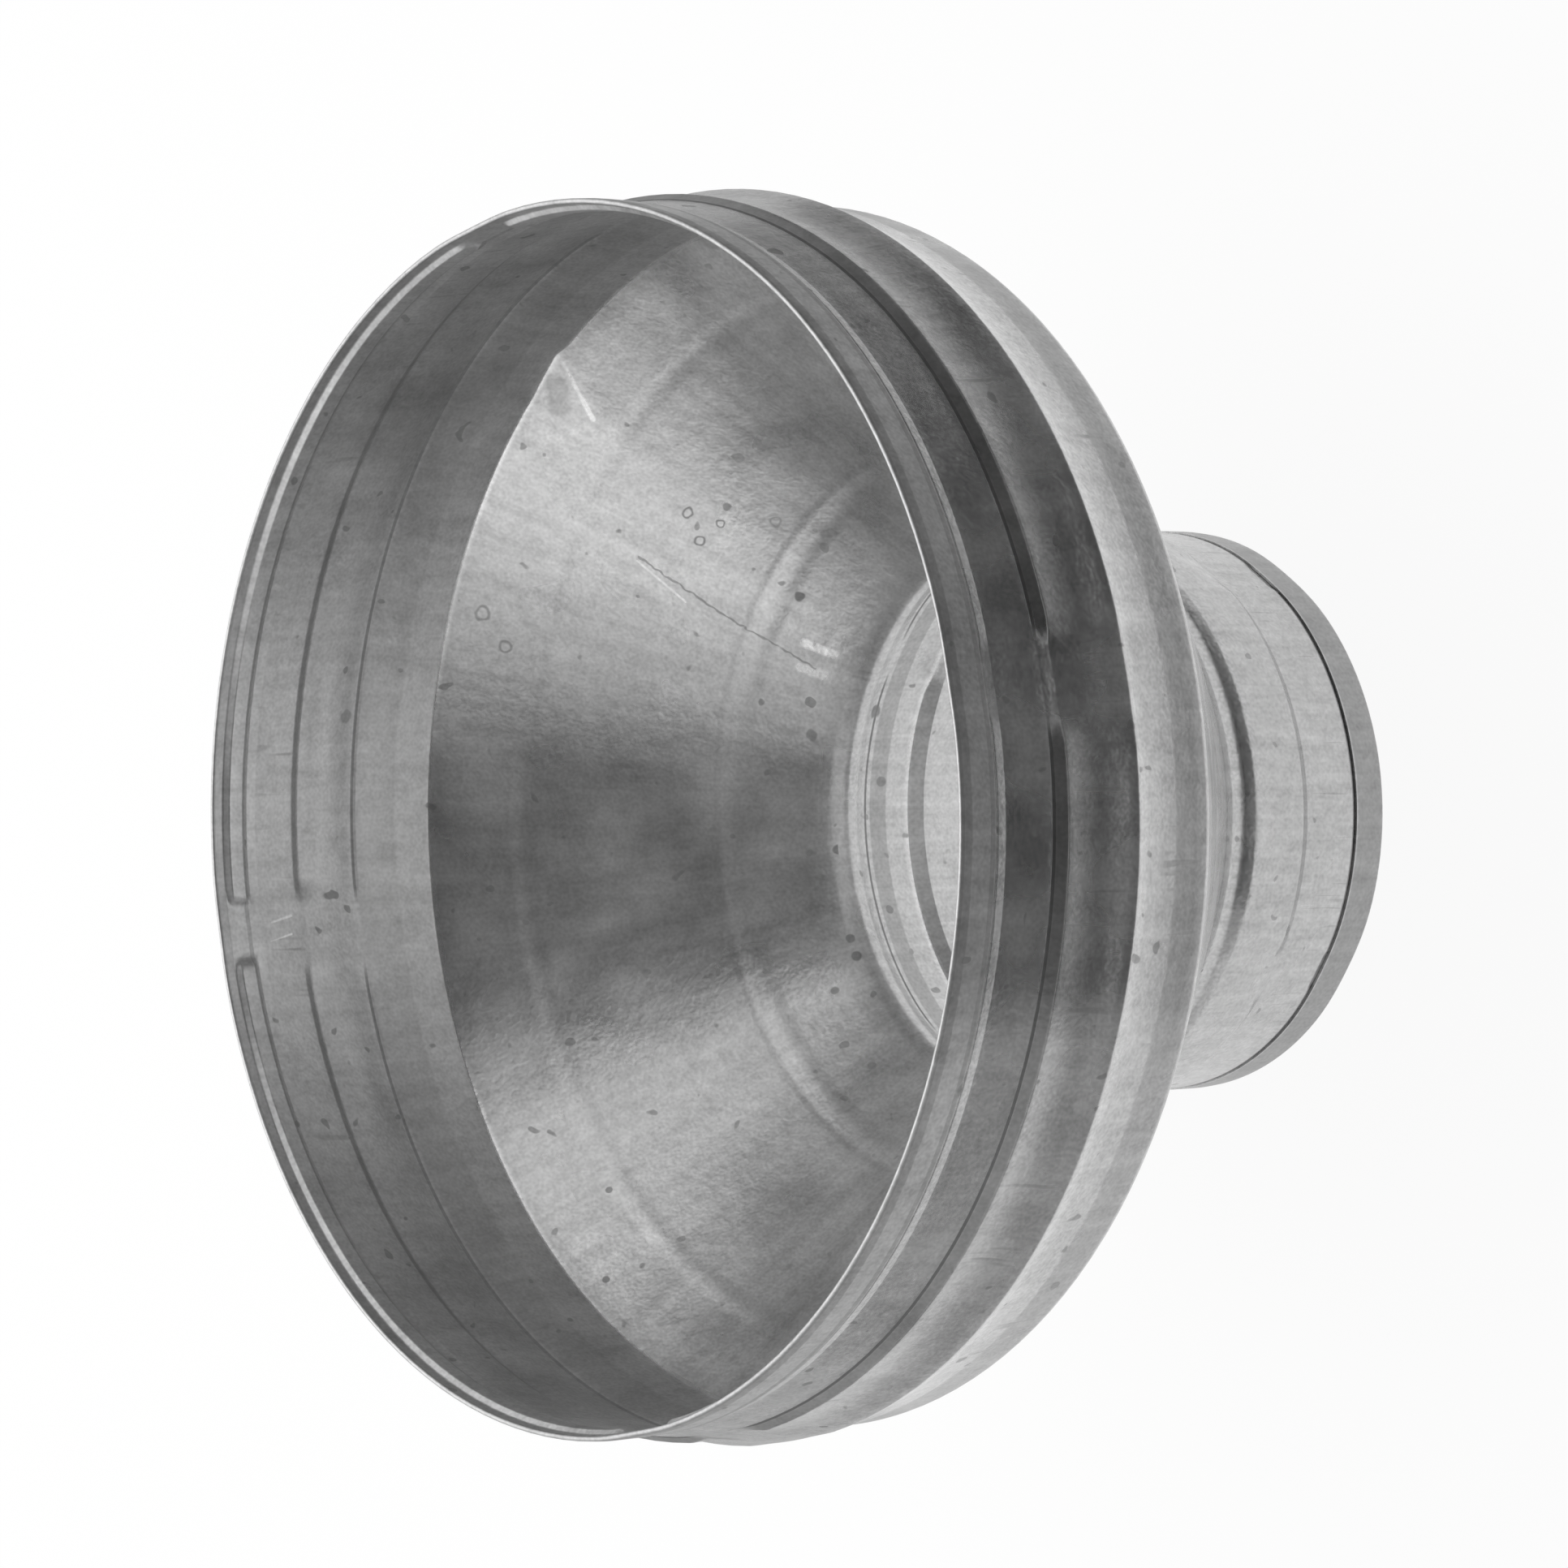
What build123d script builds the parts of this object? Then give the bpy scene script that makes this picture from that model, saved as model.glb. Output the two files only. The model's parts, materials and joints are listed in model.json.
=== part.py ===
"""Duct reducer, 250 mm to 125 mm, pressed from one round of galvanised sheet.

The part stands on its small end with the axis on Z and the wide mouth up. Its wall is one sheet: a hem folded
back at each rim, a seal groove behind the hem, a collar with a step that stops the duct, a crest, and a cone
between the two ends. Groove, step and crest are pressed in arcs, with a short gap of plain sheet between arcs.
"""

import os
from math import degrees

from build123d import *

# Overall size
length = 176.0  # over the two rims
sheet = 0.6  # thickness of the sheet
large_radius = 124.0  # outside of the large hem
small_radius = 62.0  # outside of the small hem

# Hems and seal grooves, as depths from either rim
hem_length = 8.3  # rim to the hem's cut edge
groove_start = 2.8
groove_bottom = 6.0
groove_end = 11.0
groove_depth = 1.1

# Collars, as depths from their own rim and radius gained on the bore side
crest_depth = 40.0
large_step_start = 21.6
large_step_end = 24.3
large_flare = 1.5
large_step_rise = 1.5
large_crest_rise = 2.1
small_step_start = 22.8
small_step_end = 26.0
small_step_rise = 1.9

# Shoulder behind the large crest, cone, and root of the neck behind the small crest
crest_back_length = 3.0
crest_back_drop = 2.1
shoulder_length = 16.9
root_back_length = 3.3
root_back_drop = 1.6
root_length = 5.0  # along the axis, from the root's ring to the end of the cone
root_rise = 1.3

# Gaps of plain sheet between the pressed arcs
gap_count = 4
large_gap_width = 12.0  # along the arc
small_gap_width = 7.2
large_gap_angle = 12.0  # turn of the first gap about the axis
small_gap_angle = 56.0
step_lead = 6.0  # depth from a step's top to the end of the bridge over it
crest_lead = 4.5  # depth from the start of a bridge to the crest that it passes
none_left = 0  # share of a groove or a step that is left in a gap
crest_left = 0.6  # share of a crest that is left in a gap
press_left = 0.05  # how far the plain sheet still follows the press
seat = 0.3  # how far a gap's bridge reaches into the wall beside it
tool_clearance = 1.0  # how far a gap's cut passes beyond the pressed wall


def collar_line(hem_radius, step_start, step_end, flare, step_rise, crest_rise):
    """Bore side of one collar, from the groove to the crest, as radius and depth from the rim."""
    bore = hem_radius - 2 * sheet
    step_foot = bore + flare
    step_top = step_foot + step_rise
    return [
        (bore, groove_start),
        (bore - groove_depth, groove_bottom),
        (bore, groove_end),
        (step_foot, step_start),
        (step_top, step_end),
        (step_top + crest_rise, crest_depth),
    ]


straight = 0
large_collar = collar_line(
    large_radius,
    large_step_start,
    large_step_end,
    large_flare,
    large_step_rise,
    large_crest_rise,
)
small_collar = collar_line(
    small_radius,
    small_step_start,
    small_step_end,
    straight,
    small_step_rise,
    straight,
)

large_crest, _ = large_collar[-1]
small_crest, _ = small_collar[-1]
crest_back = (large_crest - crest_back_drop, crest_depth + crest_back_length)
corner = (crest_back[0], crest_back[1] + shoulder_length)
root = (small_crest - root_back_drop, crest_depth + root_back_length)
cone_end = (root[0] + root_rise, root[1] + root_length)


def from_large_rim(point):
    """Place a radius and a depth from the large rim in the section plane."""
    radius, depth = point
    return (radius, length - depth)


def from_small_rim(point):
    """Place a radius and a depth from the small rim in the section plane."""
    return point


def bridge(start, peak, end, press, left):
    """Outlines that turn a press into plain sheet: one to fill on its hollow side, one to cut on its raised side.

    The press runs from start over its peak to end, outwards where press is 1 and inwards where it is -1. The sheet
    keeps a share of the peak, as left gives it.
    """
    hollow = 0 if press > 0 else sheet
    raised = sheet - hollow
    radius, depth = peak
    plain = [start, end]
    if left > 0:
        run = (depth - start[1]) / (end[1] - start[1])
        chord = start[0] + run * (end[0] - start[0])
        plain.insert(1, (chord + left * (radius - chord), depth))
    foot = press * press_left
    fill = [(r + hollow + foot, d) for r, d in plain] + [(radius + hollow + press * seat, depth)]
    cut = [(r + raised + foot, d) for r, d in plain] + [(radius + raised + press * tool_clearance, depth)]
    return fill, cut


def collar_bridges(collar, behind_crest):
    """Bridges over the groove, the step and the crest of one collar."""
    groove_in, bottom, groove_out, step_foot, step_top, crest = collar
    rise = (crest[0] - step_top[0]) / (crest[1] - step_top[1])
    behind_step = (step_top[0] + rise * step_lead, step_top[1] + step_lead)
    before_crest = (crest[0] - rise * crest_lead, crest[1] - crest_lead)
    return [
        bridge(groove_in, bottom, groove_out, -1, none_left),
        bridge(step_foot, step_top, behind_step, 1, none_left),
        bridge(before_crest, crest, behind_crest, 1, crest_left),
    ]


large_gaps = (
    large_radius,
    large_gap_width,
    large_gap_angle,
    collar_bridges(large_collar, crest_back),
    from_large_rim,
)
small_gaps = (
    small_radius,
    small_gap_width,
    small_gap_angle,
    collar_bridges(small_collar, root),
    from_small_rim,
)

# The bore side of the sheet from one fold to the other
bore_points = [from_large_rim(point) for point in [*large_collar, crest_back, corner]]
bore_points += [from_small_rim(point) for point in [cone_end, root, *reversed(small_collar)]]

with BuildPart() as reducer:
    with BuildSketch(Plane.XZ):
        # The wall, drawn along its bore side from rim to rim and given its thickness outwards
        with BuildLine():
            large_rim = from_large_rim((large_radius - 2 * sheet, 0))
            small_rim = from_small_rim((small_radius - 2 * sheet, 0))
            Polyline(large_rim, *bore_points, small_rim)
            offset(amount=sheet, side=Side.LEFT, kind=Kind.INTERSECTION)
        make_face()
        # The outer layers of the hems, folded flat on the wall, with a free edge over the groove
        for hem_radius, place in ((large_radius, from_large_rim), (small_radius, from_small_rim)):
            under_side = hem_radius - sheet
            layer = [(hem_radius, 0), (hem_radius, hem_length), (under_side, hem_length), (under_side, 0)]
            Polygon(*[place(point) for point in layer], align=None)
    revolve(axis=Axis.Z)

    # Gaps, where plain sheet bridges the pressed features and closes the ends of the arcs on both sides
    for radius, width, first_angle, bridges, place in (large_gaps, small_gaps):
        cut_arc = degrees(width / radius)
        fill_arc = cut_arc + 2 * degrees(sheet / radius)
        for number in range(gap_count):
            middle = first_angle + number * 360 / gap_count
            with BuildSketch(Plane.XZ.rotated((0, 0, middle - fill_arc / 2))):
                for fill, _ in bridges:
                    Polygon(*[place(point) for point in fill], align=None)
            revolve(axis=Axis.Z, revolution_arc=fill_arc)
            with BuildSketch(Plane.XZ.rotated((0, 0, middle - cut_arc / 2))):
                for _, cut in bridges:
                    Polygon(*[place(point) for point in cut], align=None)
            revolve(axis=Axis.Z, revolution_arc=cut_arc, mode=Mode.SUBTRACT)

reducer.part.label = "reducer"
os.makedirs("parts", exist_ok=True)
export_step(reducer.part, "parts/reducer.step")
print(f"reducer: {len(reducer.part.solids())} solid, {reducer.part.volume:.0f} cubic millimetres")
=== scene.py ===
import json
import math

import bmesh
import bpy
from mathutils import Matrix, Vector


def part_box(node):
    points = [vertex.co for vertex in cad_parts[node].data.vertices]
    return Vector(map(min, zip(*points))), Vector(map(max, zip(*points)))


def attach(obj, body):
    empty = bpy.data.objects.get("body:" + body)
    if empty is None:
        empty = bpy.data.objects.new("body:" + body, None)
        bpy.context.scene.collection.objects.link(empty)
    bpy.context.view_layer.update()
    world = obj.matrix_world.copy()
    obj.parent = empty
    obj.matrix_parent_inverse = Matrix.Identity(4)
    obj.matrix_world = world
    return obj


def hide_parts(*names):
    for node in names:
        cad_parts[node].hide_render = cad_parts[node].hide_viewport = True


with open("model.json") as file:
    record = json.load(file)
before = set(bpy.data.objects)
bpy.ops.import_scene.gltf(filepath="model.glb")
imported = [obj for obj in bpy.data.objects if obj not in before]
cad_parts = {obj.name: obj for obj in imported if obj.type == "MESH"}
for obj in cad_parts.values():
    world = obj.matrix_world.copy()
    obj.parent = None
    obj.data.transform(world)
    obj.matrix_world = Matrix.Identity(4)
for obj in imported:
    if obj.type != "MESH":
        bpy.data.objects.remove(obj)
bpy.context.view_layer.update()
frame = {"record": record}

bl_info = {
    "name": "Duct reducer",
    "version": (1, 0, 0),
    "blender": (4, 5, 0),
    "location": "View3D > Sidebar > Reducer",
    "description": "Pressed galvanised reducer for round air ducts, with its studio stage",
    "category": "Object",
}

MM = 0.001
NODE = "reducer"
BODY = "root"
FULL_TURN = math.tau
QUARTER = math.tau / 4

# Steps of the mesh: degrees of a bend and of the spin, and runs between two rings
BEND_STEP = 12
LARGE_GAP_STEP = 0.5
SMALL_GAP_STEP = 0.8
PLAIN_STEP = 2.5
PRESSED_RUN = 2.2 * MM
PLAIN_RUN = 5.0 * MM

# Rows of a collar, counted from its hem's cut edge
GROOVE_START, GROOVE_END, STEP_FOOT, STEP_TOP = 4, 8, 9, 10
BEHIND_LARGE_CREST = 15
BEHIND_SMALL_CREST = 13

# Glowing cards round the object that the camera doesn't see; their glow gives the metal's reflections
# painted shade and painted highlights: name, start and arc in degrees, lower and upper edge, light given off
CARD_RADIUS = 1.15
TOP_CARD_START = 0.05
TOP_CARD_HEIGHT = 1.7
TOP_CARD_GLOW = 0.15
CARDS = (
    ("front_card", -30, 90, 0.42, 1.7, 0.1),
    ("low_front_card", -30, 90, 0.0, 0.42, 0.02),
    ("low_right_card", 60, 45, 0.0, 0.52, 0.04),
    ("right_card", 60, 45, 0.52, 0.8, 0.45),
    ("side_card", -60, 30, 0.0, 1.2, 0.5),
    ("low_side_card", -97, 37, 0.0, 0.7, 0.42),
    ("low_far_card", -125, 28, 0.0, 0.8, 0.42),
    ("left_card", -97, 37, 0.7, 1.5, 1.25),
    ("far_side_card", 105, 20, 0.0, 0.75, 0.42),
    ("back_card", 105, 145, 0.8, 1.9, 1.55),
)
# Glowing cards on the floor, seen only in the metal's reflections, that paint shade into the reflected
# floor: name, start and arc in degrees, light given off at each distance from the axis
FLOOR_CARD_START = 0.18
FLOOR_CARD_HEIGHT = 0.002
FLOOR_DISTANCES = (0.2, 0.26, 0.33, 0.42, 0.6, 0.8)
FLOOR_CARDS = (
    ("floor_front_card", -30, 85, (0.85, 0.2, 0.18, 0.02, 0.04, 0.7)),
    ("floor_left_card", -115, 85, (0.9, 0.75, 0.5, 0.25, 0.3, 0.7)),
    ("floor_right_card", 55, 60, (0.9, 0.4, 0.3, 0.05, 0.06, 0.4)),
    ("floor_back_card", 115, 130, (0.7, 0.6, 0.45, 0.35, 0.35, 0.5)),
)

# Soft box over the back of the object
SOFT_BOX_SIZE = 1.4
SOFT_BOX_PLACE = Vector((-0.45, 0.1, 1.45))
SOFT_BOX_AIM = Vector((0, 0, 0.1))

# Camera that gives the photo's view
LENS = 111.8
CAMERA_PLACE = Vector((0.7796, 0.0119, 0.7618))
PICTURE_RIGHT = Vector((0.6386, -0.0062, -0.7695))
PICTURE_UP = Vector((0.0, 0.99997, -0.0080))

# Driving sizes, from the frame
mounts = {mount["name"]: mount for mount in frame["record"]["mounts"]}
LARGE_RADIUS = mounts["large_collar"]["dims"]["r_mm"] * MM
SMALL_RADIUS = mounts["small_collar"]["dims"]["r_mm"] * MM
HEM_LENGTH = mounts["large_collar"]["dims"]["length_mm"] * MM
node_low, node_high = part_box(NODE)
LENGTH = node_high[2] - node_low[2]


def length_property(name, description, default):
    """Size in metres, shown in the scene's units."""
    return bpy.props.FloatProperty(
        name=name, description=description, default=default, unit="LENGTH", precision=5
    )


def angle_property(name, description, degrees):
    """Angle given in degrees and kept in radians."""
    return bpy.props.FloatProperty(
        name=name, description=description, default=math.radians(degrees), unit="ROTATION"
    )


def share_property(name, description, default):
    """Plain share or strength."""
    return bpy.props.FloatProperty(name=name, description=description, default=default, subtype="FACTOR")


def grey_property(name, description, level):
    """Neutral colour."""
    return bpy.props.FloatVectorProperty(
        name=name, description=description, default=(level, level, level), subtype="COLOR", min=0, max=1
    )


class SheetSizes(bpy.types.PropertyGroup):
    """Sizes of the pressed sheet. Depths are counted from the nearer rim."""

    length: length_property("Length", "Over the two rims", LENGTH)
    large_radius: length_property("Large hem", "Outside radius of the large hem", LARGE_RADIUS)
    small_radius: length_property("Small hem", "Outside radius of the small hem", SMALL_RADIUS)
    hem_length: length_property("Hem length", "From a rim to the cut edge of its hem", HEM_LENGTH)
    thickness: length_property("Sheet", "Thickness of the sheet", 0.57 * MM)
    fold: length_property("Fold", "Outside radius of the fold at a rim", 0.6 * MM)
    groove_start: length_property("Groove start", "Depth of a groove's first bend", 2.6 * MM)
    groove_floor_start: length_property("Floor start", "Depth where a groove's floor starts", 3.7 * MM)
    groove_floor_end: length_property("Floor end", "Depth where a groove's floor ends", 7.0 * MM)
    groove_depth: length_property("Groove depth", "How far the large groove is pressed in", 1.1 * MM)
    small_groove_depth: length_property("Small groove", "How far the small groove is pressed in", 0.6 * MM)
    bead: length_property("Bead", "How far the sheet is pressed out behind a hem's cut edge", 0.3 * MM)
    bead_depth: length_property("Bead depth", "Depth of the bead", 9.0 * MM)
    groove_end: length_property("Groove end", "Depth where the collar is straight again", 11.2 * MM)
    flare: length_property("Flare", "Radius that the large collar gains up to its step", 1.5 * MM)
    step_start: length_property("Large step start", "Depth of the large step's foot", 21.6 * MM)
    step_end: length_property("Large step end", "Depth of the large step's top", 24.3 * MM)
    step_rise: length_property("Large step", "Radius gained by the large step", 1.5 * MM)
    small_step_start: length_property("Small step start", "Depth of the small step's foot", 22.8 * MM)
    small_step_end: length_property("Small step end", "Depth of the small step's top", 26.0 * MM)
    small_step_rise: length_property("Small step", "Radius gained by the small step", 1.9 * MM)
    crest_depth: length_property("Crest depth", "Depth of the large crest", 40.0 * MM)
    crest_rise: length_property("Crest", "Radius gained from the large step to its crest", 2.1 * MM)
    shoulder_depth: length_property("Shoulder depth", "Depth of the shoulder's corner", 59.9 * MM)
    neck_crest_depth: length_property("Neck crest depth", "Depth of the small crest", 39.4 * MM)
    root_depth: length_property("Root depth", "Depth of the neck's root from the small rim", 43.8 * MM)
    root_bend: length_property("Root bend", "Bend radius between the cone and the neck", 10.0 * MM)
    large_gap: length_property("Large gap", "Plain sheet between arcs at the large end", 11.0 * MM)
    small_gap: length_property("Small gap", "Plain sheet between arcs at the small end", 6.4 * MM)
    large_gap_angle: angle_property("Large gap turn", "Turn of the first gap at the large end", 12)
    small_gap_angle: angle_property("Small gap turn", "Turn of the first gap at the small end", 56)
    rim_flat: length_property("Rim flat", "How far a rim is flattened at a gap", 0.35 * MM)
    dent: length_property("Dent", "How far the shoulder is pushed out at its dent", 1.3 * MM)
    dent_angle: angle_property("Dent turn", "Turn of the dent about the axis", 127)


class SheetFinish(bpy.types.PropertyGroup):
    """Colours of the galvanised sheet."""

    light: grey_property("Light zinc", "Colour of the light grains", 0.70)
    dark: grey_property("Dark zinc", "Colour of the dark grains and streaks", 0.50)
    # Colour of the stains, used also for the painted shade along the bends
    stain_and_shade: grey_property("Stain", "Colour of spots and stains", 0.14)


class StageSettings(bpy.types.PropertyGroup):
    """Floor and light."""

    floor: grey_property("Floor", "Colour of the floor", 0.85)
    floor_glow: share_property("Floor glow", "Share of plain white in the floor as it is seen", 0.93)
    room: share_property("Room", "Brightness of the room", 1.0)
    key: share_property("Key", "Power of the soft box in watts", 8.0)


def collar_rows(hem_radius, groove_depth, flare, step, step_rise, sizes):
    """Face side of one collar from its hem's cut edge to the top of its step.

    Each row is a radius, a depth from the rim and the radius of the bend there.
    """
    bore = hem_radius - 2 * sizes.fold
    floor = bore - groove_depth
    foot = bore + flare
    step_start, step_end = step
    return [
        (hem_radius, sizes.hem_length, 0),
        (hem_radius, 2.4 * MM, 4.0 * MM),
        (hem_radius - 0.2 * MM, 0, 0.5 * MM),
        (bore, 0, 0.5 * MM),
        (bore, sizes.groove_start, 0.8 * MM),
        (floor, sizes.groove_floor_start, 0.6 * MM),
        (floor, sizes.groove_floor_end, 0.5 * MM),
        (bore + sizes.bead, sizes.bead_depth, 0.6 * MM),
        (bore, sizes.groove_end, 1.0 * MM),
        (foot, step_start, 0.8 * MM),
        (foot + step_rise, step_end, 0.8 * MM),
    ]


def section_rows(sizes):
    """Face side of the sheet from one hem's cut edge to the other's: radius, height, bend radius."""
    large_step = (sizes.step_start, sizes.step_end)
    small_step = (sizes.small_step_start, sizes.small_step_end)
    large = collar_rows(
        sizes.large_radius, sizes.groove_depth, sizes.flare, large_step, sizes.step_rise, sizes
    )
    small = collar_rows(
        sizes.small_radius, sizes.small_groove_depth, 0, small_step, sizes.small_step_rise, sizes
    )
    step_top = large[-1][0]
    crest = step_top + sizes.crest_rise
    large += [
        (step_top - 0.3 * MM, 29.0 * MM, 25 * MM),
        (step_top + 0.42 * sizes.crest_rise, 35.0 * MM, 40 * MM),
        (crest, sizes.crest_depth, 0.6 * MM),
        (crest - 0.45 * MM, sizes.crest_depth + 1.2 * MM, 3.0 * MM),
        (crest - 1.4 * MM, 46.0 * MM, 40.0 * MM),
        (crest - 2.15 * MM, 52.0 * MM, 80.0 * MM),
        (crest - 2.2 * MM, sizes.shoulder_depth, 1.4 * MM),
    ]
    neck = small[-1][0]
    root = neck - 1.6 * MM
    small += [
        (neck + 0.1 * MM, 34.0 * MM, 40.0 * MM),
        (neck + 0.25 * MM, sizes.neck_crest_depth, 3.0 * MM),
        (root, sizes.root_depth, 5.0 * MM),
        (root + 0.2 * MM, sizes.root_depth + 3.2 * MM, sizes.root_bend),
    ]
    down = [(radius, sizes.length - depth, bend) for radius, depth, bend in large]
    return down + list(reversed(small))


class Gaps:
    """Plain sheet between the pressed arcs of one collar."""

    def __init__(self, first_turn, width, radius, bands, rounding):
        self.turns = [first_turn + number * QUARTER for number in range(4)]
        self.half_width = width / 2
        self.radius = radius
        self.bands = bands
        self.rounding = rounding

    def distance(self, turn):
        """Distance along the rim from the middle of the nearest gap."""
        around = min(abs((turn - middle + math.pi) % FULL_TURN - math.pi) for middle in self.turns)
        return around * self.radius

    def settled(self, radius, depth, turn):
        """Radius of a point once the gaps are left plain."""
        distance = self.distance(turn)
        for (start_radius, start), (end_radius, end), fade, left in self.bands:
            if start < depth < end:
                share = (depth - start) / (end - start)
                plain = start_radius + share * (end_radius - start_radius)
                across = 2 * share - 1
                edge = self.half_width + self.rounding * (1 - math.sqrt(1 - across * across))
                kept = left + (1 - left) * smooth_step((distance - edge) / fade)
                return plain + (radius - plain) * kept
        return radius


def smooth_step(share):
    """Soft rise from 0 to 1."""
    share = min(max(share, 0), 1)
    return share * share * (3 - 2 * share)


def tent(share):
    """Straight fall from 1 in the middle to 0 on either side."""
    return max(0, 1 - abs(share))


class REDUCER_OT_sheet(bpy.types.Operator):
    """Make the pressed sheet with its hems, grooves, steps, crests and gaps"""

    bl_idname = "reducer.sheet"
    bl_label = "Pressed sheet"

    def execute(self, context):
        sizes = context.scene.reducer_sizes
        mesh = bpy.data.meshes.new("pressed_sheet")
        piece = bpy.data.objects.new("pressed_sheet", mesh)
        context.scene.collection.objects.link(piece)
        bm = bmesh.new()
        self.draw_section(bm, sizes)
        self.spin_section(bm, sizes)
        self.shape_gaps(bm, sizes)
        self.press_dent(bm, sizes)
        self.part_zones(bm, sizes)
        bm.to_mesh(mesh)
        bm.free()
        self.thicken(piece, sizes)
        self.galvanise(mesh, sizes, context.scene.reducer_finish)
        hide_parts(NODE)
        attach(piece, BODY)
        return {"FINISHED"}

    def thicken(self, piece, sizes):
        """Give the sheet its thickness behind the drawn face."""
        skin = piece.modifiers.new("Thickness", "SOLIDIFY")
        skin.thickness = sizes.thickness
        skin.offset = -1
        skin.use_even_offset = True
        skin.use_quality_normals = True
        skin.material_offset = 1
        skin.material_offset_rim = 1

    def galvanise(self, mesh, sizes, finish):
        """Add each zone's material with the outside's material next to it."""
        groups = SheetGroups()
        outside = Galvanising("galvanised_outside", sizes, finish, groups, OUTSIDE_MARKS).material
        for name, depth, marks in BORE_ZONES:
            mesh.materials.append(Galvanising(name, sizes, finish, groups, marks).material)
            mesh.materials.append(outside)

    def draw_section(self, bm, sizes):
        """Draw the section line in the XZ plane, round its bends and divide its long runs."""
        rows = section_rows(sizes)
        corners = [bm.verts.new((radius, 0, height)) for radius, height, bend in rows]
        for first, second in zip(corners, corners[1:]):
            bm.edges.new((first, second))
        bends = []
        for before, here, after in zip(rows, rows[1:], rows[2:]):
            arriving = Vector(here[:2]) - Vector(before[:2])
            leaving = Vector(after[:2]) - Vector(here[:2])
            turn = arriving.angle(leaving)
            bends.append((here[2] * math.tan(turn / 2), turn))
        for corner, (reach, turn) in zip(corners[1:-1], bends):
            if reach > 0:
                steps = max(2, round(math.degrees(turn) / BEND_STEP))
                bmesh.ops.bevel(
                    bm, geom=[corner], offset=reach, offset_type="OFFSET", affect="VERTICES",
                    segments=steps, profile=0.5, material=-1, clamp_overlap=True,
                )
        for edge in list(bm.edges):
            cuts = math.ceil(edge.calc_length() / self.longest_run(edge, sizes)) - 1
            if cuts > 0:
                bmesh.ops.subdivide_edges(bm, edges=[edge], cuts=cuts)

    def longest_run(self, edge, sizes):
        """Longest run between two rings: short where the arcs are pressed, long on the cone and the hems."""
        middle = (edge.verts[0].co + edge.verts[1].co) / 2
        depth = min(middle.z, sizes.length - middle.z)
        return PRESSED_RUN if 2 * MM < depth < 45 * MM else PLAIN_RUN

    def spin_section(self, bm, sizes):
        """Spin the line about the axis, with narrow steps at the gaps and the dent."""
        half_zone = math.radians(6.0)
        stops = [(sizes.dent_angle, LARGE_GAP_STEP)]
        for number in range(4):
            stops.append((sizes.large_gap_angle + number * QUARTER, LARGE_GAP_STEP))
            stops.append((sizes.small_gap_angle + number * QUARTER, SMALL_GAP_STEP))
        stops.sort()
        turns = [turn for turn, narrow in stops]
        start = Matrix.Rotation(turns[0] - half_zone, 3, "Z")
        bmesh.ops.rotate(bm, verts=bm.verts, cent=(0, 0, 0), matrix=start)
        front = list(bm.edges)
        for (turn, narrow), following in zip(stops, turns[1:] + [turns[0] + FULL_TURN]):
            for arc, step in ((2 * half_zone, narrow), (following - turn - 2 * half_zone, PLAIN_STEP)):
                steps = max(1, round(math.degrees(arc) / step))
                made = bmesh.ops.spin(
                    bm, geom=front, cent=(0, 0, 0), axis=(0, 0, 1), dvec=(0, 0, 0),
                    angle=arc, steps=steps,
                )
                front = [item for item in made["geom_last"] if isinstance(item, bmesh.types.BMEdge)]
        bmesh.ops.remove_doubles(bm, verts=bm.verts, dist=0.01 * MM)
        bmesh.ops.recalc_face_normals(bm, faces=bm.faces)
        cone = min(bm.faces, key=lambda face: abs(face.calc_center_median().z - sizes.length / 2))
        if cone.normal.z < 0:
            bmesh.ops.reverse_faces(bm, faces=bm.faces)
        for face in bm.faces:
            face.smooth = True
        for edge in bm.edges:
            if edge.is_boundary:
                edge.smooth = False

    def shape_gaps(self, bm, sizes):
        """Leave the sheet plain between the ends of the pressed arcs, with the rims a little flat."""
        large, small = collar_gaps(sizes)
        pressed = bm.verts.layers.float.new("pressed")
        for vert in bm.verts:
            at_large = vert.co.z > sizes.length / 2
            gaps = large if at_large else small
            depth = sizes.length - vert.co.z if at_large else vert.co.z
            if depth > 46 * MM:
                continue
            radius = vert.co.xy.length
            turn = math.atan2(vert.co.y, vert.co.x)
            vert[pressed] = smooth_step((gaps.distance(turn) - gaps.half_width) / (5 * MM))
            settled = radius
            if radius < gaps.radius - sizes.fold or depth > sizes.hem_length + 0.1 * MM:
                settled = gaps.settled(radius, depth, turn)
            near_gap = math.exp(-((gaps.distance(turn) / (9 * MM)) ** 2))
            near_rim = smooth_step((30 * MM - depth) / (25 * MM))
            settled -= sizes.rim_flat * near_gap * near_rim
            vert.co.xy *= settled / radius

    def press_dent(self, bm, sizes):
        """Push the shoulder's corner out at one place and crease the cone below it."""
        for vert in bm.verts:
            depth = sizes.length - vert.co.z
            if not 50 * MM < depth < 80 * MM:
                continue
            radius = vert.co.xy.length
            turn = math.atan2(vert.co.y, vert.co.x)
            around = (turn - sizes.dent_angle + math.pi) % FULL_TURN - math.pi
            off_crease = around * sizes.large_radius - 0.8 * max(0, depth - 60 * MM)
            across = tent(off_crease / (12 * MM if off_crease > 0 else 5 * MM))
            along = tent((depth - 60 * MM) / (6 * MM if depth < 60 * MM else 13 * MM))
            vert.co.xy *= (radius + sizes.dent * across * along) / radius

    def part_zones(self, bm, sizes):
        """Give the faces of each zone of the bore their own material."""
        for face in bm.faces:
            depth = sizes.length - face.calc_center_median().z
            zone = max(number for number, row in enumerate(BORE_ZONES) if depth >= row[1] * MM)
            face.material_index = 2 * zone


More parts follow.
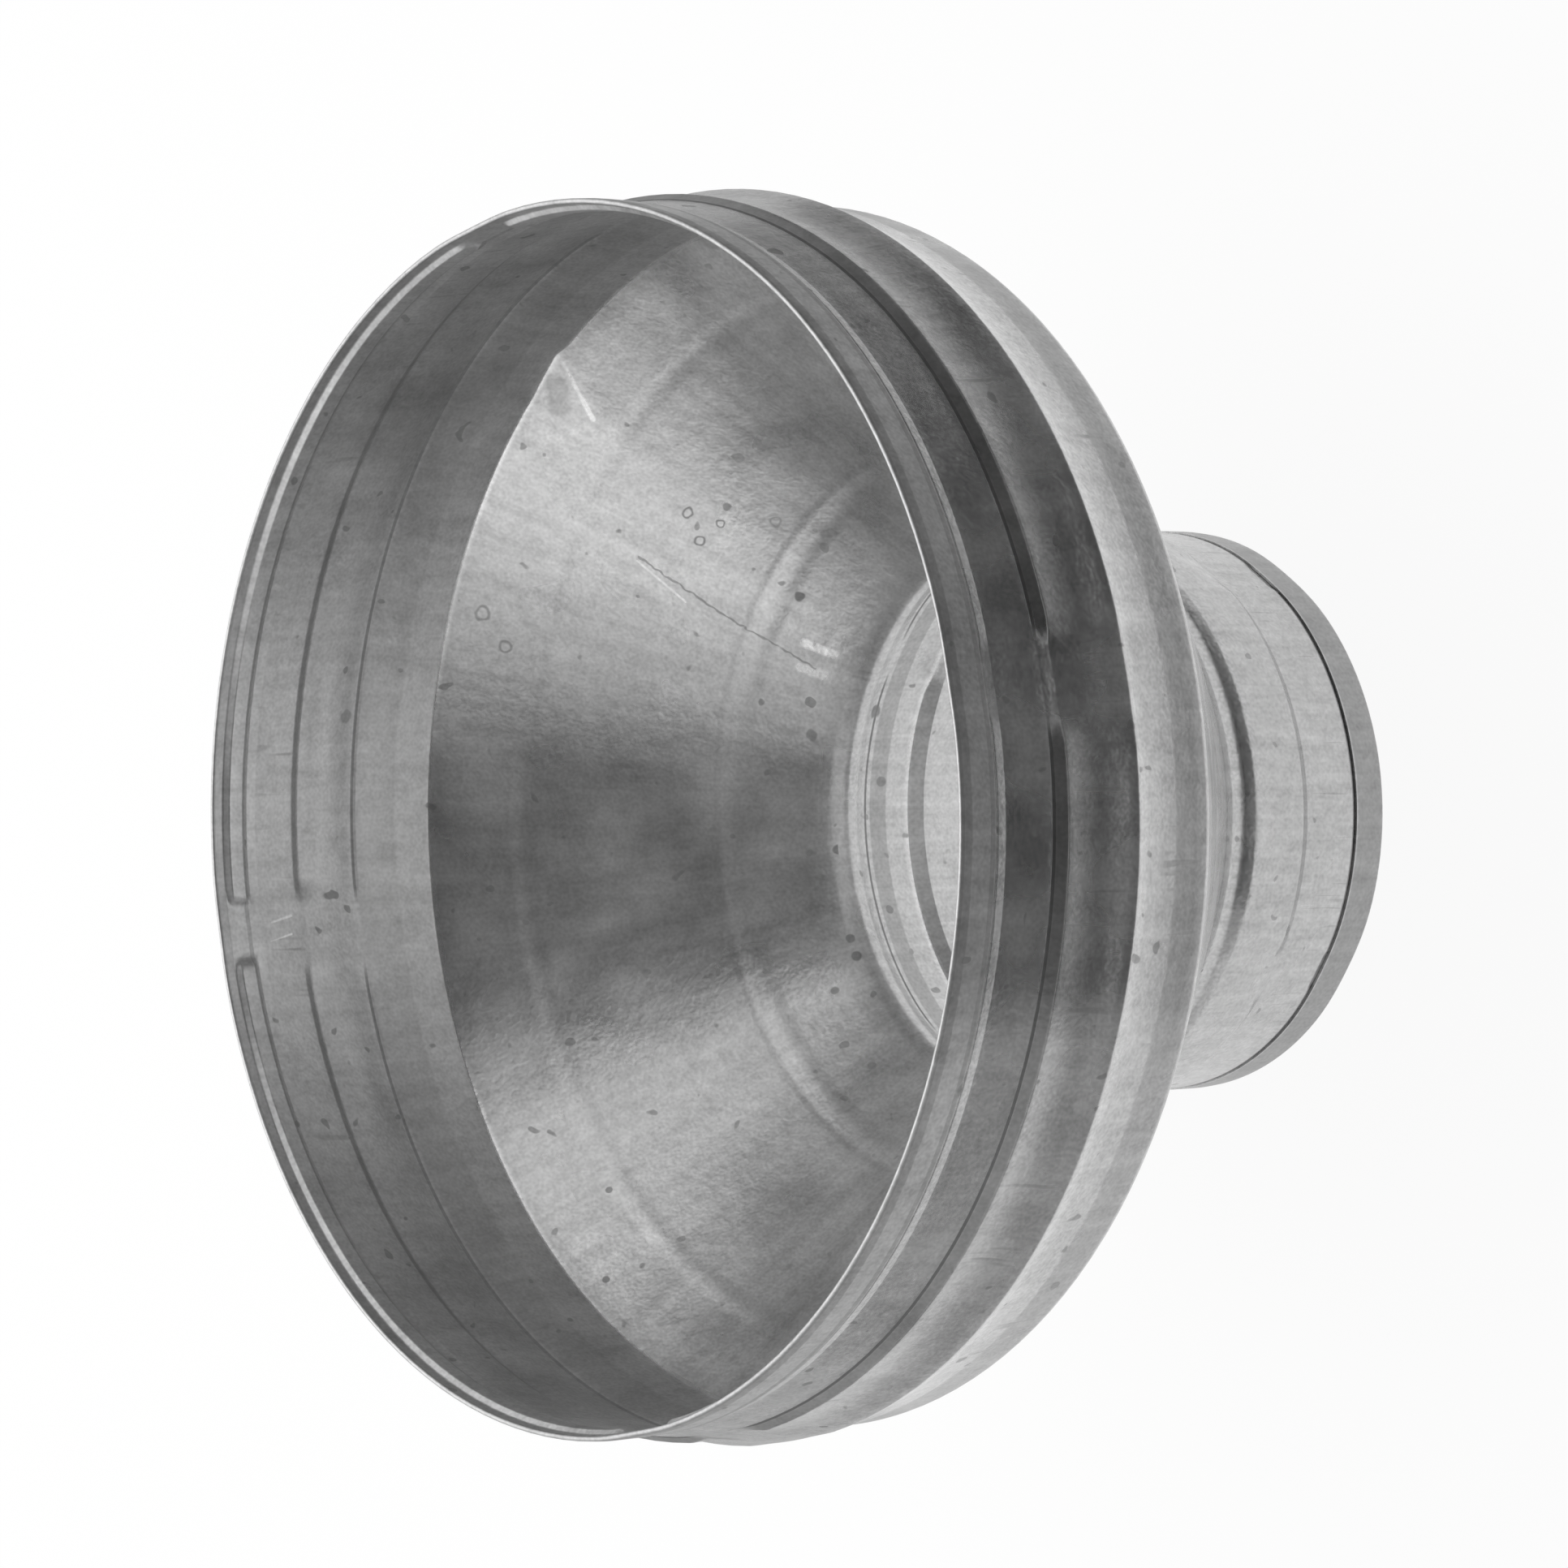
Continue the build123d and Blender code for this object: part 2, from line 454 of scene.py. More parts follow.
def collar_gaps(sizes):
    """Gaps of the large and of the small collar, read from the section's rows."""
    rows = section_rows(sizes)
    large = [(radius, sizes.length - height) for radius, height, bend in rows]
    small = [(radius, height) for radius, height, bend in reversed(rows)]
    found = []
    for line, turn, width, hem_radius, behind_crest in (
        (large, sizes.large_gap_angle, sizes.large_gap, sizes.large_radius, BEHIND_LARGE_CREST),
        (small, sizes.small_gap_angle, sizes.small_gap, sizes.small_radius, BEHIND_SMALL_CREST),
    ):
        before_crest = point_between(line, behind_crest, 35.5 * MM)
        behind_step = point_between(line, behind_crest, 31.5 * MM)
        bands = (
            (line[GROOVE_START], line[GROOVE_END], 2.2 * MM, 0.0),
            (line[STEP_FOOT], behind_step, 7.0 * MM, 0.1),
            (before_crest, line[behind_crest], 9.0 * MM, 0.7),
        )
        found.append(Gaps(turn, width, hem_radius, bands, 2.2 * MM))
    return found


def point_between(line, last, depth):
    """Point of the section at a depth from the rim, looked for from the step's top on."""
    behind_step = line[STEP_TOP : last + 1]
    for (start_radius, start), (end_radius, end) in zip(behind_step, behind_step[1:]):
        if start <= depth <= end:
            share = (depth - start) / (end - start)
            return (start_radius + share * (end_radius - start_radius), depth)
    raise ValueError("the section has no point at that depth")


class Wiring:
    """Adds nodes to a tree and links them."""

    def __init__(self, tree):
        self.tree = tree

    def node(self, kind, inputs=None, **settings):
        """New node with its settings and inputs."""
        made = self.tree.nodes.new(kind)
        for name, value in settings.items():
            setattr(made, name, value)
        self.feed(made, inputs or {})
        return made

    def feed(self, made, inputs):
        """Link or set sockets by name or number."""
        for name, value in inputs.items():
            if isinstance(value, bpy.types.NodeSocket):
                self.tree.links.new(value, made.inputs[name])
            else:
                made.inputs[name].default_value = value

    def math(self, operation, *values, clamp=False):
        """Result of a sum on values."""
        inputs = dict(enumerate(values))
        return self.node("ShaderNodeMath", inputs, operation=operation, use_clamp=clamp).outputs[0]

    def vector_math(self, operation, *values):
        """Outputs of a sum on vectors."""
        return self.node("ShaderNodeVectorMath", dict(enumerate(values)), operation=operation).outputs

    def remap(self, value, low, high, top=1.0):
        """Soft rise of a value from 0 at low to the top at high."""
        inputs = {"Value": value, "From Min": low, "From Max": high, "To Max": top}
        return self.node("ShaderNodeMapRange", inputs, interpolation_type="SMOOTHSTEP").outputs[0]

    def noise(self, vector, scale, detail, roughness=0.55):
        """Noise about 0."""
        inputs = {"Vector": vector, "Scale": scale, "Detail": detail, "Roughness": roughness}
        return self.math("SUBTRACT", self.node("ShaderNodeTexNoise", inputs).outputs["Fac"], 0.5)

    def total(self, *terms):
        """Sum of values, each times its share."""
        result = 0.0
        for value, share in terms:
            result = self.math("MULTIPLY_ADD", value, share, result)
        return result

    def group(self, tree, inputs):
        """Outputs of a shader group."""
        made = self.node("ShaderNodeGroup", node_tree=tree)
        self.feed(made, inputs)
        return made.outputs


FLOAT = "NodeSocketFloat"
VECTOR = "NodeSocketVector"


def new_group(name, inputs, outputs):
    """Shader group with named sockets: its wiring, its input sockets and its output node."""
    tree = bpy.data.node_groups.new(name, "ShaderNodeTree")
    for label, kind in inputs:
        tree.interface.new_socket(label, in_out="INPUT", socket_type=kind)
    for label, kind in outputs:
        tree.interface.new_socket(label, in_out="OUTPUT", socket_type=kind)
    wiring = Wiring(tree)
    entry = wiring.node("NodeGroupInput")
    leave = wiring.node("NodeGroupOutput")
    return wiring, entry.outputs, leave


def zinc_group():
    """Uneven zinc: clouds, mottle, fine pits, and streaks drawn along the axis."""
    outputs = [("Tone", FLOAT), ("Cloud", FLOAT), ("Streak", FLOAT), ("Relief", FLOAT)]
    wiring, entry, leave = new_group("zinc", [("Position", VECTOR)], outputs)
    position = entry["Position"]
    flat = wiring.vector_math("MULTIPLY", position, (1, 1, 0))["Vector"]
    around = wiring.vector_math("NORMALIZE", flat)["Vector"]

    def streaks(across, along):
        lengthwise = wiring.vector_math("MULTIPLY", position, (0, 0, along))["Vector"]
        vector = wiring.vector_math("MULTIPLY_ADD", around, (across, across, across), lengthwise)["Vector"]
        return wiring.noise(vector, 1.0, 1.0)

    fine = streaks(70.0, 45.0)
    broad = streaks(22.0, 45.0)
    cloud = wiring.noise(position, 45.0, 1.5, 0.65)
    mottle = wiring.noise(position, 330.0, 1.0, 0.6)
    grain = wiring.noise(position, 1300.0, 0.0)
    wiring.feed(leave, {
        "Tone": wiring.total((fine, 0.6), (broad, 0.9), (cloud, 1.3), (mottle, 0.9), (grain, 1.0)),
        "Cloud": cloud,
        "Streak": fine,
        "Relief": wiring.total((cloud, 0.14), (mottle, 0.06), (grain, 0.02)),
    })
    return wiring.tree


def spot_group():
    """Mask of one spot."""
    inputs = [("Position", VECTOR), ("Centre", VECTOR), ("Size", FLOAT), ("Strength", FLOAT)]
    wiring, entry, leave = new_group("spot", inputs, [("Mask", FLOAT)])
    reach = wiring.vector_math("DISTANCE", entry["Position"], entry["Centre"])["Value"]
    outer = wiring.math("MULTIPLY", entry["Size"], 1.2)
    inner = wiring.math("MULTIPLY", entry["Size"], 0.8)
    wiring.feed(leave, {"Mask": wiring.remap(reach, outer, inner, entry["Strength"])})
    return wiring.tree


def drop_group():
    """Mask of the outline that a drop leaves where it dries."""
    inputs = [("Position", VECTOR), ("Centre", VECTOR), ("Size", FLOAT), ("Strength", FLOAT)]
    wiring, entry, leave = new_group("dried_drop", inputs, [("Mask", FLOAT)])
    reach = wiring.vector_math("DISTANCE", entry["Position"], entry["Centre"])["Value"]
    off = wiring.math("ABSOLUTE", wiring.math("SUBTRACT", reach, entry["Size"]))
    half = wiring.math("MULTIPLY", entry["Size"], 0.4)
    wiring.feed(leave, {"Mask": wiring.remap(off, half, 0.0, entry["Strength"])})
    return wiring.tree


def line_group():
    """Mask of a straight line between two points."""
    inputs = [
        ("Position", VECTOR), ("Start", VECTOR), ("End", VECTOR),
        ("Half Width", FLOAT), ("Strength", FLOAT),
    ]
    wiring, entry, leave = new_group("line", inputs, [("Mask", FLOAT)])
    away = wiring.vector_math("SUBTRACT", entry["Position"], entry["Start"])["Vector"]
    along = wiring.vector_math("SUBTRACT", entry["End"], entry["Start"])["Vector"]
    covered = wiring.vector_math("DOT_PRODUCT", away, along)["Value"]
    whole = wiring.vector_math("DOT_PRODUCT", along, along)["Value"]
    share = wiring.math("DIVIDE", covered, whole, clamp=True)
    nearest = wiring.node("ShaderNodeVectorMath", {0: along, "Scale": share}, operation="SCALE")
    off = wiring.vector_math("DISTANCE", away, nearest.outputs["Vector"])["Value"]
    outer = wiring.math("MULTIPLY", entry["Half Width"], 1.2)
    inner = wiring.math("MULTIPLY", entry["Half Width"], 0.5)
    wiring.feed(leave, {"Mask": wiring.remap(off, outer, inner, entry["Strength"])})
    return wiring.tree


def ring_group():
    """Mask of a ring round the sheet at one height."""
    inputs = [
        ("Height", FLOAT), ("Ring Height", FLOAT),
        ("Half Width", FLOAT), ("Flat", FLOAT), ("Strength", FLOAT),
    ]
    wiring, entry, leave = new_group("ring", inputs, [("Mask", FLOAT)])
    off = wiring.math("ABSOLUTE", wiring.math("SUBTRACT", entry["Height"], entry["Ring Height"]))
    flat = wiring.math("MULTIPLY", entry["Half Width"], entry["Flat"])
    wiring.feed(leave, {"Mask": wiring.remap(off, entry["Half Width"], flat, entry["Strength"])})
    return wiring.tree


def speck_group():
    """Mask of small dark specks strewn over the sheet."""
    wiring, entry, leave = new_group("specks", [("Position", VECTOR)], [("Mask", FLOAT)])
    grains = wiring.noise(entry["Position"], 260.0, 0.0)
    wiring.feed(leave, {"Mask": wiring.remap(grains, 0.29, 0.33)})
    return wiring.tree


class SheetGroups:
    """Shader groups that both faces of the sheet share."""

    def __init__(self):
        self.zinc = zinc_group()
        self.spot = spot_group()
        self.drop = drop_group()
        self.line = line_group()
        self.ring = ring_group()
        self.specks = speck_group()


class Marks:
    """Marks, painted shade and painted highlights on one face of the sheet.

    Depths are in millimetres from the large rim, turns in degrees about the axis.
    """

    def __init__(self, **rows):
        self.spots = rows.get("spots", ())  # depth, turn, size, darkness
        self.drops = rows.get("drops", ())  # the same, for the outlines of dried drops
        self.lines = rows.get("lines", ())  # depth and turn of both ends, half width, darkness
        # Gleams are painted highlights, some of them scratches
        self.gleams = rows.get("gleams", ())  # the same, with brightness last
        self.rings = rows.get("rings", ())  # depth, half width, height in millimetres
        # Edges are painted highlights; bands and creases are mostly painted shade along the bends
        self.edges = rows.get("edges", ())  # depth, half width, brightness
        self.bands = rows.get("bands", ())  # depth, half width, darkness
        self.creases = rows.get("creases", ())  # the same, left out in the gaps
        self.flecks = rows.get("flecks", ())  # the same, broken into streaks
        self.roughness = rows.get("roughness", 0.31)
        self.metallic = rows.get("metallic", 0.88)  # the rest is the dull film on the zinc


# Bore side of the large collar and shoulder: bands are painted shade along the fold, on the groove's ridge
# and behind the crest, creases painted shade in the step and the crest, gleams painted highlights at a large
# gap
COLLAR_MARKS = Marks(
    spots=((37.4, 170, 1.6, 0.4), (30.0, 136, 14.0, 0.2)),
    gleams=(
        (4.2, 193.2, 6.5, 193.6, 0.3, 1.2),
        (13.0, 193.0, 19.5, 192.2, 0.3, 1.0),
        (14.0, 191.0, 20.0, 190.3, 0.35, 0.8),
    ),
    bands=((0.2, 0.7, 0.3), (1.7, 0.9, 0.18), (7.5, 0.6, 0.25), (46.0, 5.5, 0.14)),
    creases=((22.8, 1.2, 0.35), (40.3, 0.45, 0.5)),
    flecks=((17.0, 9.0, 0.3),),
    roughness=0.36,
    metallic=0.8,
)
# Bore side of the cone: besides the crack the lines hold painted shade on a facet of the dent; gleams are
# painted highlights, along the dent's crease and the crack among them; the edge is a painted highlight along
# the shoulder's corner
CONE_MARKS = Marks(
    spots=(
        (64.5, -123, 0.9, 0.7), (70.4, -121.5, 0.8, 0.6), (73.4, -132.5, 0.8, 0.6), (96.2, 132, 1.0, 0.5),
        (114.0, 140, 1.2, 0.7), (120.0, -126, 1.1, 0.5), (121.5, -144, 1.0, 0.5), (123.0, 165, 1.3, 0.45),
        (127.0, -149, 1.2, 0.6), (127.0, -153, 1.1, 0.6), (128.0, -172, 1.2, 0.6),
    ),
    drops=(
        (91.3, 136, 1.1, 0.6), (95.2, 139, 1.1, 0.6), (96.8, 135, 0.9, 0.6), (104.2, 130, 1.2, 0.4),
        (65.5, 158, 1.5, 0.4), (70.4, 161, 1.3, 0.4),
    ),
    lines=(
        (87.3, 145, 104.0, 148.5, 0.3, 0.45),
        (104.0, 148.5, 121.0, 152, 0.27, 0.45),
        (62.5, 130, 64.5, 132, 3.0, 0.25),
    ),
    gleams=(
        (118.5, 152.8, 122.5, 152.8, 1.3, 0.7), (118.0, 148.0, 123.0, 148.0, 1.2, 0.8),
        (87.3, 145.6, 97.2, 148.6, 0.3, 0.5), (60.2, 127, 70.2, 131.2, 0.8, 0.9),
    ),
    rings=((75.9, 2.6, 0.09), (108.3, 1.2, -0.05), (111.3, 2.6, 0.12)),
    edges=((60.2, 0.9, 0.8),),
)
# Bore side of the neck: the edge is a painted highlight ring, the band at 141 painted shade, the band at
# 171.8 darkens the sheet next to the small rim, the crease painted shade in the small crest
NECK_MARKS = Marks(
    spots=((136.9, 159, 1.5, 0.6), (140.9, -159, 1.1, 0.6), (141.9, 174, 1.4, 0.6)),
    edges=((149.6, 1.3, 0.6),),
    bands=((141.0, 2.6, 0.3), (171.8, 4.3, 0.45)),
    creases=((137.3, 0.4, 0.7),),
)
# Zones of the bore: material, depth where it starts, marks
BORE_ZONES = (
    ("galvanised_collar", 0.0, COLLAR_MARKS),
    ("galvanised_cone", 59.9, CONE_MARKS),
    ("galvanised_neck", 129.0, NECK_MARKS),
)
# Outside: the edges are painted highlights along the shoulder's edge and behind the large crest; the bands
# are painted shade over the shoulder's band and under the small hem's cut edge, and a faint darkening over
# the neck; the creases are painted shade at the large step's foot and on the step
OUTSIDE_MARKS = Marks(
    rings=((142.8, 1.5, 0.05), (75.9, 2.6, -0.09), (111.3, 2.6, -0.12)),
    edges=((59.9, 0.9, 0.5), (42.0, 2.0, 0.3)),
    bands=((55.8, 5.0, 0.24), (150.0, 20.0, 0.1), (167.2, 0.5, 0.6)),
    creases=((21.7, 0.4, 0.8), (23.0, 1.4, 0.4)),
    flecks=((54.0, 9.0, 0.35), (30.0, 12.0, 0.35), (160.0, 12.0, 0.35)),
    roughness=0.25,
)


def bore_point(sizes, depth, turn):
    """Point of the bore at a depth from the large rim and a turn about the axis."""
    height = sizes.length - depth * MM
    line = section_rows(sizes)[3:-3]
    for (start_radius, start, bend), (end_radius, end, next_bend) in zip(line, line[1:]):
        if end <= height <= start:
            radius = start_radius + (start - height) / (start - end) * (end_radius - start_radius)
            return Matrix.Rotation(math.radians(turn), 3, "Z") @ Vector((radius, 0, height))
    raise ValueError("the bore has no point at that depth")


class Galvanising:
    """Makes the dull galvanised material of one face of the sheet."""

    def __init__(self, name, sizes, finish, groups, marks):
        self.material = bpy.data.materials.new(name)
        self.material.use_nodes = True
        self.wiring = Wiring(self.material.node_tree)
        self.sizes = sizes
        self.groups = groups
        self.position = self.wiring.node("ShaderNodeTexCoord").outputs["Object"]
        self.height = self.wiring.node("ShaderNodeSeparateXYZ", {"Vector": self.position}).outputs["Z"]
        self.zinc = self.wiring.group(groups.zinc, {"Position": self.position})
        stain_and_shade = self.stains_and_shade(marks)
        wear_and_highlight = self.highlights_and_wear(marks)
        self.finish_shader(finish, marks, stain_and_shade, wear_and_highlight)

    def stains_and_shade(self, marks):
        """Darkness of specks, spots, drops, flecks and a crack, and painted shade along the bends and on a
        facet of the dent, with ragged outlines.
        """
        wiring = self.wiring
        wander = wiring.noise(self.position, 520.0, 0.0)
        reach = (0.9 * MM, 0.9 * MM, 0.9 * MM)
        ragged = wiring.vector_math("MULTIPLY_ADD", reach, wander, self.position)["Vector"]
        stain_and_shade = wiring.math("MULTIPLY", wiring.group(self.groups.specks, {"Position": ragged})["Mask"], 0.45)
        for row in marks.spots:
            stain_and_shade = wiring.math("MAXIMUM", stain_and_shade, self.spot(self.groups.spot, ragged, row))
        for row in marks.drops:
            stain_and_shade = wiring.math("MAXIMUM", stain_and_shade, self.spot(self.groups.drop, ragged, row))
        # Lines: a crack, and painted shade on a facet of the dent
        for row in marks.lines:
            stain_and_shade = wiring.math("MAXIMUM", stain_and_shade, self.line(ragged, row))
        # Bands: painted shade along bends and over the shoulder; two only darken the small hem and the neck
        for depth, half, darkness in marks.bands:
            stain_and_shade = wiring.math("MAXIMUM", stain_and_shade, self.ring(depth, half, 0.8, darkness))
        pressed = wiring.node("ShaderNodeAttribute", attribute_name="pressed").outputs["Fac"]
        # Creases: painted shade in the pressed bends, left out in the gaps
        for depth, half, darkness in marks.creases:
            crease_shade = wiring.math("MULTIPLY", self.ring(depth, half, 0.5, darkness), pressed)
            stain_and_shade = wiring.math("MAXIMUM", stain_and_shade, crease_shade)
        streaky = wiring.total((self.zinc["Streak"], 1.0), (self.zinc["Cloud"], 0.5))
        grime = wiring.remap(streaky, 0.14, 0.3)
        for depth, half, darkness in marks.flecks:
            fleck = wiring.math("MULTIPLY", self.ring(depth, half, 0.3, darkness), grime)
            stain_and_shade = wiring.math("MAXIMUM", stain_and_shade, fleck)
        return stain_and_shade

    def highlights_and_wear(self, marks):
        """Brightness of painted highlights: gleams along lines, some of them scratches, and bright rings
        along edges.
        """
        wear_and_highlight = 0.0
        # Gleams: painted highlights along lines, some of them scratches
        for row in marks.gleams:
            wear_and_highlight = self.wiring.math("MAXIMUM", wear_and_highlight, self.line(self.position, row))
        # Edges: painted highlight rings along bends and edges
        for depth, half, brightness in marks.edges:
            wear_and_highlight = self.wiring.math("MAXIMUM", wear_and_highlight, self.ring(depth, half, 0.0, brightness))
        return wear_and_highlight

    def relief(self, marks):
        """Height of the surface in millimetres: zinc and the rings of the drawing tools."""
        relief = self.zinc["Relief"]
        for depth, half, rise in marks.rings:
            relief = self.wiring.math("ADD", self.ring(depth, half, 0.0, rise), relief)
        return relief

    def spot(self, group, position, row):
        """Mask of one spot or dried drop."""
        depth, turn, size, strength = row
        return self.wiring.group(group, {
            "Position": position, "Centre": bore_point(self.sizes, depth, turn),
            "Size": size * MM, "Strength": strength,
        })["Mask"]

    def line(self, position, row):
        """Mask of one line."""
        start, start_turn, end, end_turn, half, strength = row
        return self.wiring.group(self.groups.line, {
            "Position": position, "Start": bore_point(self.sizes, start, start_turn),
            "End": bore_point(self.sizes, end, end_turn), "Half Width": half * MM, "Strength": strength,
        })["Mask"]

    def ring(self, depth, half, flat, strength):
        """Mask of one ring, even over the flat share of its half width."""
        return self.wiring.group(self.groups.ring, {
            "Height": self.height, "Ring Height": self.sizes.length - depth * MM,
            "Half Width": half * MM, "Flat": flat, "Strength": strength,
        })["Mask"]

    def finish_shader(self, finish, marks, stain_and_shade, wear_and_highlight):
        """Lead colour, roughness and relief to the shader."""
        wiring = self.wiring
        # The painted highlights lighten the zinc's tone and make it a little glossier
        tone = wiring.math("ADD", wiring.math("ADD", self.zinc["Tone"], 0.5), wear_and_highlight)
        zinc_colour = wiring.node("ShaderNodeMix", data_type="RGBA", clamp_factor=False)
        wiring.feed(zinc_colour, {0: tone, 6: (*finish.dark, 1), 7: (*finish.light, 1)})
        colour = wiring.node("ShaderNodeMix", data_type="RGBA")
        wiring.feed(colour, {0: stain_and_shade, 6: zinc_colour.outputs[2], 7: (*finish.stain_and_shade, 1)})
        uneven = wiring.total((self.zinc["Cloud"], 0.3), (stain_and_shade, 0.2), (wear_and_highlight, -0.1))
        bump = wiring.node("ShaderNodeBump", {"Height": self.relief(marks), "Strength": 1.0, "Distance": MM})
        wiring.feed(self.material.node_tree.nodes["Principled BSDF"], {
            "Base Color": colour.outputs[2], "Roughness": wiring.math("ADD", uneven, marks.roughness),
            "Normal": bump.outputs["Normal"], "Metallic": marks.metallic,
        })


class REDUCER_OT_stage(bpy.types.Operator):
    """Make the floor, the light and the camera"""

    bl_idname = "reducer.stage"
    bl_label = "Stage"

    def execute(self, context):
        settings = context.scene.reducer_stage
        self.make_floor(context, settings)
        self.make_world(context, settings)
        self.make_cards(context)
        self.make_lamp(context, settings)
        self.make_camera(context)
        context.scene.view_settings.view_transform = "Standard"
        return {"FINISHED"}

    def make_floor(self, context, settings):
        """Lay the floor that the part stands on."""
        mesh = bpy.data.meshes.new("floor")
        floor = bpy.data.objects.new("floor", mesh)
        context.scene.collection.objects.link(floor)
        bm = bmesh.new()
        bmesh.ops.create_grid(bm, x_segments=1, y_segments=1, size=3)
        bm.to_mesh(mesh)
        bm.free()
        mesh.materials.append(self.white_floor(settings))

    def white_floor(self, settings):
        """Pale floor that shows nearly white and keeps the object's shadow."""
        material, wiring, output = self.bare_material("white_floor")
        matt = wiring.node("ShaderNodeBsdfDiffuse", {"Color": (*settings.floor, 1)})
        glow = wiring.node("ShaderNodeEmission", {"Strength": 1.0})
        path = wiring.node("ShaderNodeLightPath").outputs
        seen = wiring.math("MAXIMUM", path["Is Camera Ray"], path["Is Glossy Ray"])
        share = wiring.math("MULTIPLY", seen, settings.floor_glow)
        mix = wiring.node("ShaderNodeMixShader", {0: share, 1: matt.outputs[0], 2: glow.outputs[0]})
        wiring.feed(output, {"Surface": mix.outputs[0]})
        return material

    def bare_material(self, name):
        """New material with nothing but its output: the material, its wiring and its output node."""
        material = bpy.data.materials.new(name)
        material.use_nodes = True
        nodes = material.node_tree.nodes
        nodes.remove(nodes["Principled BSDF"])
        return material, Wiring(material.node_tree), nodes["Material Output"]

    def make_world(self, context, settings):
        """Light the room evenly white."""
        world = bpy.data.worlds.new("studio")
        world.use_nodes = True
        room = world.node_tree.nodes["Background"]
        room.inputs["Color"].default_value = (1, 1, 1, 1)
        room.inputs["Strength"].default_value = settings.room
        world.cycles.sampling_method = "NONE"
        context.scene.world = world

    def make_cards(self, context):
        """Stand glowing cards between the object and the room, so that the metal reflects painted shade and
        painted highlights.
        """
        for name, start, arc, low, high, glow in CARDS:
            material = self.plain_card(name, glow)
            self.bend_card(context, name, start, arc, (CARD_RADIUS, low), (CARD_RADIUS, high), material)
        material = self.plain_card("top_card", TOP_CARD_GLOW)
        inner, outer = (TOP_CARD_START, TOP_CARD_HEIGHT), (CARD_RADIUS, TOP_CARD_HEIGHT)
        self.bend_card(context, "top_card", -75, 150, inner, outer, material)
        inner, outer = (FLOOR_CARD_START, FLOOR_CARD_HEIGHT), (CARD_RADIUS, FLOOR_CARD_HEIGHT)
        for name, start, arc, levels in FLOOR_CARDS:
            material = self.fading_card(name, levels)
            card = self.bend_card(context, name, start, arc, inner, outer, material)
            # The floor cards cast no shadow and stay out of diffuse light: painted shade seen only in
            # reflections
            card.visible_shadow = False
            card.visible_diffuse = False

    def plain_card(self, name, glow):
        """Card material of one brightness."""
        material, wiring, output = self.bare_material(name)
        light = wiring.node("ShaderNodeEmission", {"Strength": glow})
        wiring.feed(output, {"Surface": light.outputs[0]})
        return material

    def fading_card(self, name, levels):
        """Card material whose brightness changes with the distance from the axis."""
        material, wiring, output = self.bare_material(name)
        position = wiring.node("ShaderNodeTexCoord").outputs["Object"]
        fade = wiring.node("ShaderNodeValToRGB", {"Fac": wiring.vector_math("LENGTH", position)["Value"]})
        stops = fade.color_ramp.elements
        stops[0].position, stops[1].position = FLOOR_DISTANCES[0], FLOOR_DISTANCES[-1]
        for distance in FLOOR_DISTANCES[1:-1]:
            stops.new(distance)
        for stop, level in zip(stops, levels):
            stop.color = (level, level, level, 1)
        light = wiring.node("ShaderNodeEmission", {"Color": fade.outputs["Color"]})
        wiring.feed(output, {"Surface": light.outputs[0]})
        return material

    def bend_card(self, context, name, start, arc, first, last, material):
        """Spin a straight edge about the axis into a card that the camera doesn't see."""
        bm = bmesh.new()
        ends = [bm.verts.new((radius, 0, height)) for radius, height in (first, last)]
        edge = bm.edges.new(ends)
        turn = Matrix.Rotation(math.radians(start), 3, "Z")
        bmesh.ops.rotate(bm, verts=bm.verts, cent=(0, 0, 0), matrix=turn)
        bmesh.ops.spin(
            bm, geom=[*ends, edge], cent=(0, 0, 0), axis=(0, 0, 1), dvec=(0, 0, 0),
            angle=math.radians(arc), steps=24,
        )
        mesh = bpy.data.meshes.new(name)
        card = bpy.data.objects.new(name, mesh)
        context.scene.collection.objects.link(card)
        bm.to_mesh(mesh)
        bm.free()
        mesh.materials.append(material)
        material.cycles.emission_sampling = "NONE"
        card.visible_camera = False
        return card

    def make_lamp(self, context, settings):
        """Hang a soft box over the back of the object."""
        data = bpy.data.lights.new("soft_box", "AREA")
        data.shape = "RECTANGLE"
        data.size = SOFT_BOX_SIZE
        data.size_y = SOFT_BOX_SIZE
        data.energy = settings.key
        lamp = bpy.data.objects.new("soft_box", data)
        aim = (SOFT_BOX_AIM - SOFT_BOX_PLACE).to_track_quat("-Z", "Y")
        lamp.matrix_world = Matrix.Translation(SOFT_BOX_PLACE) @ aim.to_matrix().to_4x4()
        context.scene.collection.objects.link(lamp)

    def make_camera(self, context):
        """Set up the camera that gives the photo's view."""
        data = bpy.data.cameras.new("camera")
        data.sensor_width = 36
        data.lens = LENS
        camera = bpy.data.objects.new("camera", data)
        right = PICTURE_RIGHT.normalized()
        back = right.cross(PICTURE_UP).normalized()
        up = back.cross(right).normalized()
        turn = Matrix((right, up, back)).transposed()
        camera.matrix_world = Matrix.Translation(CAMERA_PLACE) @ turn.to_4x4()
        context.scene.collection.objects.link(camera)
        context.scene.camera = camera


class REDUCER_PT_panel(bpy.types.Panel):
    """Sizes, colours and operators of the duct reducer"""

    bl_idname = "REDUCER_PT_panel"
    bl_label = "Duct reducer"
    bl_space_type = "VIEW_3D"
    bl_region_type = "UI"
    bl_category = "Reducer"

    def draw(self, context):
        layout = self.layout
        scene = context.scene
        for group in (scene.reducer_sizes, scene.reducer_finish, scene.reducer_stage):
            box = layout.box()
            for name in group.bl_rna.properties.keys():
                if name not in ("rna_type", "name"):
                    box.prop(group, name)
        layout.operator(REDUCER_OT_sheet.bl_idname)
        layout.operator(REDUCER_OT_stage.bl_idname)


